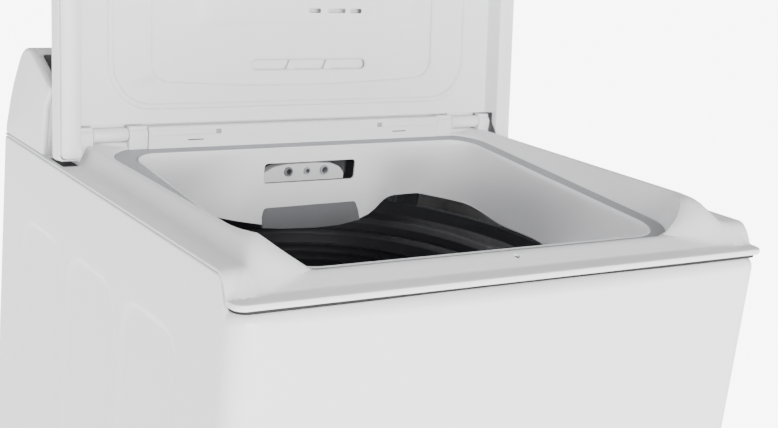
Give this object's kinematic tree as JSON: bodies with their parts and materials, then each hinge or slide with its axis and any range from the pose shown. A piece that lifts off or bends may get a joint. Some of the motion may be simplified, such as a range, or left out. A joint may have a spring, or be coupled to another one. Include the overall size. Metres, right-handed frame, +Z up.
{
  "type": "top load washing machine",
  "caption": "White top-loading washing machine with an open hinged lid, sloping rear console, suspended tub, perforated basket and belt drive",
  "frame": {"origin": "on the floor, under the middle of the whole machine's box", "axes": "+Z up, the front faces -Y, the lid opens towards +Y; +X is the right side seen from the front"},
  "size_m": [0.698, 0.664, 1.4271],
  "materials": {
    "white_enamel": "gloss white baked enamel",
    "white_plastic": "moulded white",
    "grey_seal": "satin light grey",
    "grey_plastic": "matt mid grey",
    "dark_plastic": "matt charcoal",
    "black_glass": "gloss black",
    "stainless": "brushed stainless",
    "galvanised": "galvanised",
    "steel": "bright steel",
    "aluminium": "cast",
    "black_rubber": "matt black rubber",
    "board_green": "circuit board",
    "natural_plastic": "unpainted natural polypropylene"
  },
  "bodies": {
    "root": {"cabinet_wrap": "white_enamel", "rear_panel": "galvanised", "base_frame": "galvanised", "suspension_brackets": "galvanised", "suspension_rods": "steel", "top_deck": "white_plastic", "lid_gasket": "grey_seal", "deck_hinge_knuckles": "white_plastic", "hinge_pins": "steel", "lid_lock_housing": "grey_plastic", "console_housing": "white_plastic", "console_end_cap_left": "white_plastic", "console_end_cap_right": "white_plastic", "control_panel": "black_glass", "control_board": "board_green", "nozzle_housing": "grey_seal", "spray_nozzles": "dark_plastic", "rear_insert_panel": "grey_plastic", "inlet_valve": "natural_plastic", "fill_hose": "black_rubber", "drain_outlet": "grey_plastic", "cord_gland": "black_rubber", "rear_screws": "steel"},
    "lid": {"lid_outer_skin": "white_enamel", "lid_inner_panel": "white_plastic", "lid_strike": "grey_plastic", "lid_bumpers": "grey_seal", "lid_hinge_barrels": "white_plastic"},
    "lock_bolt": {"lock_bolt": "grey_plastic"},
    "tub": {"outer_tub": "natural_plastic", "tub_ring": "dark_plastic", "drive_platform": "galvanised", "bearing_housing": "aluminium", "shaft_bearings": "steel", "motor_housing": "galvanised", "drive_belt": "black_rubber", "drain_pump_housing": "natural_plastic", "suspension_springs": "steel", "internal_drain_hose": "black_rubber"},
    "basket": {"basket": "stainless", "balance_ring": "dark_plastic", "basket_hub": "aluminium", "spin_tube": "steel"},
    "clutch": {"clutch_slider": "dark_plastic"},
    "wash_drive": {"wash_plate": "grey_plastic", "drive_shaft": "steel", "driven_pulley": "aluminium"},
    "motor": {"motor_rotor": "steel", "motor_pulley": "aluminium"},
    "pump": {"pump_impeller": "natural_plastic"},
    "knob": {"cycle_knob": "white_plastic"},
    "power_button": {"power_button": "grey_plastic"},
    "start_button": {"start_button": "grey_plastic"},
    "water_level_button": {"water_level_button": "grey_plastic"},
    "soak_button": {"soak_button": "grey_plastic"},
    "foot_front_left": {"levelling_foot_front_left": "black_rubber"},
    "foot_front_right": {"levelling_foot_front_right": "black_rubber"},
    "foot_rear_left": {"levelling_foot_rear_left": "black_rubber"},
    "foot_rear_right": {"levelling_foot_rear_right": "black_rubber"}
  },
  "joints": [
    {"name": "lid_hinge", "type": "hinge", "parent": "root", "child": "lid", "pos_m": [0, 0.1433, 0.9596], "axis": [1, 0, 0], "range_deg": [0, 97.5]},
    {"name": "lock_bolt_slide", "type": "slide", "parent": "root", "child": "lock_bolt", "axis": [-1, 0, 0], "range_m": [0, 0.008]},
    {"name": "tub_bounce", "type": "slide", "parent": "root", "child": "tub", "axis": [0, 0, 1], "range_m": [-0.03, 0.005], "stiffness_N_per_m": 20000, "springref_m": 0.0147, "deforming": ["suspension_springs", "internal_drain_hose"]},
    {"name": "basket_spin", "type": "hinge", "parent": "tub", "child": "basket", "pos_m": [0, 0, 0.3], "axis": [0, 0, 1], "continuous": true},
    {"name": "clutch_shift", "type": "slide", "parent": "basket", "child": "clutch", "axis": [0, 0, -1], "range_m": [0, 0.006]},
    {"name": "motor_spin", "type": "hinge", "parent": "tub", "child": "motor", "pos_m": [0, 0.185, 0.1], "axis": [0, 0, 1], "continuous": true},
    {"name": "wash_plate_spin", "type": "hinge", "parent": "tub", "child": "wash_drive", "pos_m": [0, 0, 0.1], "axis": [0, 0, 1], "continuous": true},
    {"name": "pump_spin", "type": "hinge", "parent": "tub", "child": "pump", "pos_m": [-0.185, -0.06, 0.15], "axis": [0, 0, 1], "continuous": true},
    {"name": "cycle_knob_turn", "type": "hinge", "parent": "root", "child": "knob", "pos_m": [0.205, 0.19564, 1.03633], "axis": [0, -0.4369, 0.8995], "continuous": true},
    {"name": "power_button_press", "type": "slide", "parent": "root", "child": "power_button", "axis": [0, 0.4369, -0.8995], "range_m": [0, 0.0015], "stiffness_N_per_m": 1500, "springref_m": -0.0008},
    {"name": "start_button_press", "type": "slide", "parent": "root", "child": "start_button", "axis": [0, 0.4369, -0.8995], "range_m": [0, 0.0015], "stiffness_N_per_m": 1500, "springref_m": -0.0008},
    {"name": "water_level_button_press", "type": "slide", "parent": "root", "child": "water_level_button", "axis": [0, 0.4369, -0.8995], "range_m": [0, 0.0015], "stiffness_N_per_m": 1500, "springref_m": -0.0008},
    {"name": "soak_button_press", "type": "slide", "parent": "root", "child": "soak_button", "axis": [0, 0.4369, -0.8995], "range_m": [0, 0.0015], "stiffness_N_per_m": 1500, "springref_m": -0.0008},
    {"name": "foot_front_left_turn", "type": "hinge", "parent": "root", "child": "foot_front_left", "pos_m": [-0.3, -0.262, 0.03], "axis": [0, 0, 1], "continuous": true},
    {"name": "foot_front_right_turn", "type": "hinge", "parent": "root", "child": "foot_front_right", "pos_m": [0.3, -0.262, 0.03], "axis": [0, 0, 1], "continuous": true},
    {"name": "foot_rear_left_turn", "type": "hinge", "parent": "root", "child": "foot_rear_left", "pos_m": [-0.3, 0.262, 0.03], "axis": [0, 0, 1], "continuous": true},
    {"name": "foot_rear_right_turn", "type": "hinge", "parent": "root", "child": "foot_rear_right", "pos_m": [0.3, 0.262, 0.03], "axis": [0, 0, 1], "continuous": true}
  ],
  "couplings": [
    {"joint": "wash_plate_spin", "follows": "motor_spin", "ratio": 0.15652}
  ]
}
